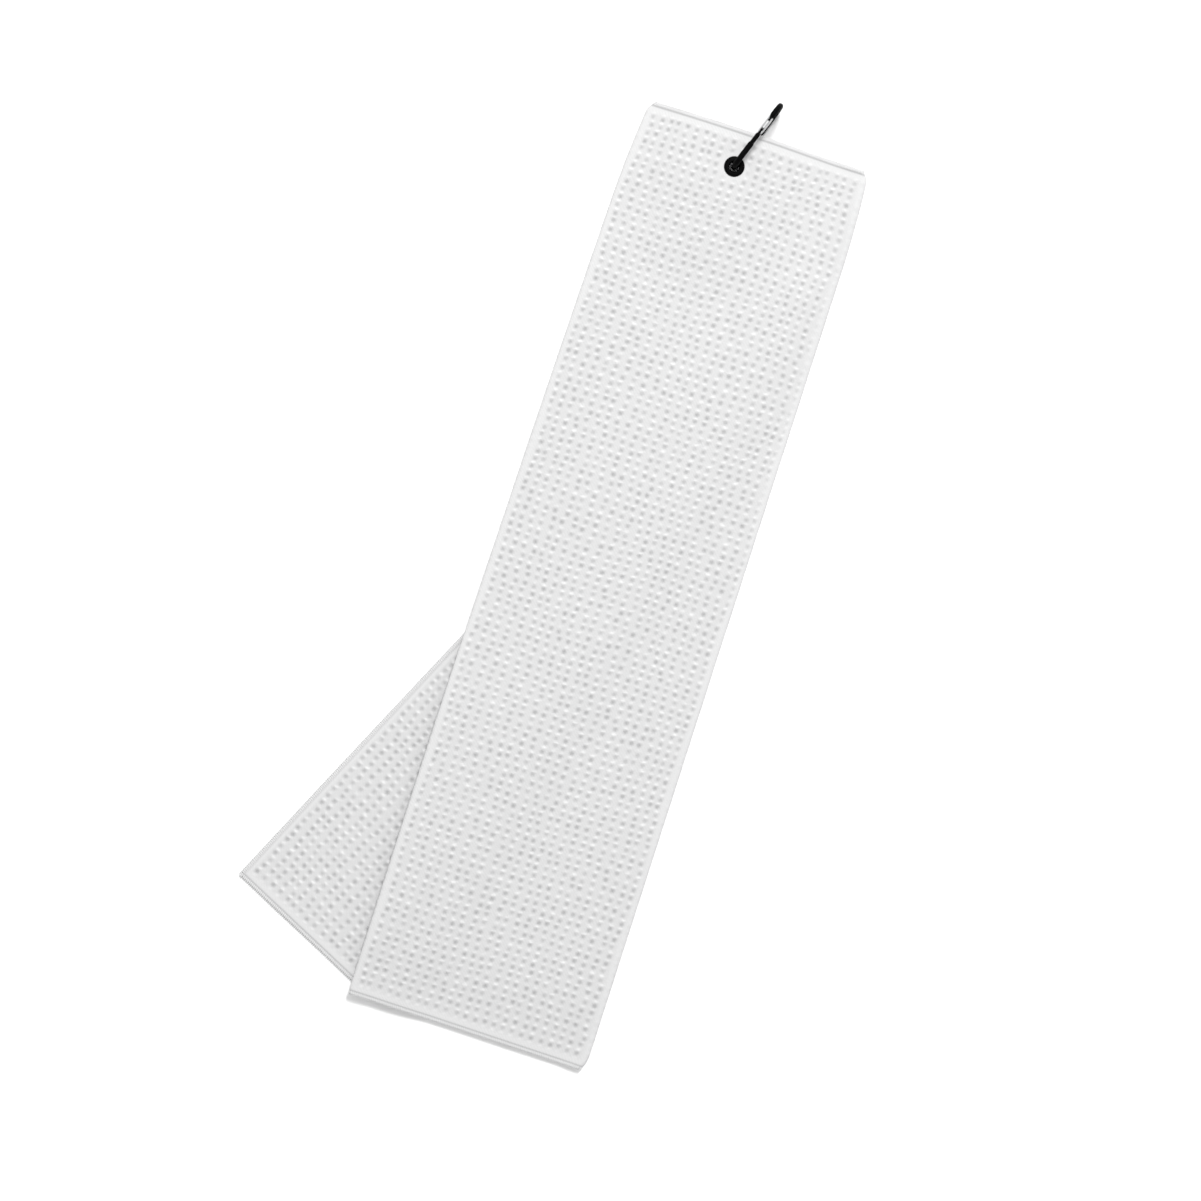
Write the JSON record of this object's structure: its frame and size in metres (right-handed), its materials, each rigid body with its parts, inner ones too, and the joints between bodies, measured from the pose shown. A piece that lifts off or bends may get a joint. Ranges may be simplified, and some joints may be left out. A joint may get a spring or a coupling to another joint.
{
  "type": "golf towel",
  "caption": "Folded waffle-weave golf towel lying flat, with a grommet near its top edge and a small snap-gate carabiner standing through it.",
  "frame": {"origin": "Centre of the footprint, on the surface that the towel lies on.", "axes": "+Z up, out of the front panel's face. +Y along the towel's length, from the bottom hem to the grommet end. +X to the right when looking down on the front panel with +Y up."},
  "size_m": [0.2535, 0.6355, 0.026],
  "materials": {
    "waffle_cloth": "white waffle weave, matt and slightly fuzzy",
    "thread": "white overlocked thread",
    "black_paint": "black, semi-gloss",
    "bright_aluminium": "bright drawn tube",
    "spring_steel": "plain steel wire"
  },
  "bodies": {
    "towel": {"towel_cloth": "waffle_cloth", "edge_thread_top": "thread", "edge_thread_bottom": "thread", "edge_thread_left": "thread", "edge_thread_right": "thread", "grommet_eyelet": "black_paint", "grommet_washer": "black_paint"},
    "carabiner": {"carabiner_body": "black_paint", "gate_pivot_pin": "spring_steel"},
    "gate": {"carabiner_gate": "bright_aluminium", "gate_latch_pin": "spring_steel", "gate_spring": "spring_steel"},
    "plunger": {"gate_plunger": "spring_steel"}
  },
  "joints": [
    {"name": "carabiner_swing", "type": "hinge", "parent": "towel", "child": "carabiner", "pos_m": [0.03338, 0.26958, 0], "axis": [0, 0, 1], "range_deg": [-32, 70]},
    {"name": "gate_open", "type": "hinge", "parent": "carabiner", "child": "gate", "pos_m": [0.04224, 0.2953, 0.0241], "axis": [-0.9455, 0.3256, 0], "range_deg": [0, 35], "stiffness_Nm_per_rad": 0.012, "springref_deg": -28.65},
    {"name": "plunger_slide", "type": "slide", "parent": "gate", "child": "plunger", "axis": [0.3256, 0.9455, 0], "range_m": [0, 0.0008]}
  ],
  "couplings": [
    {"joint": "plunger_slide", "follows": "gate_open", "m_per_rad": 0.00115}
  ]
}
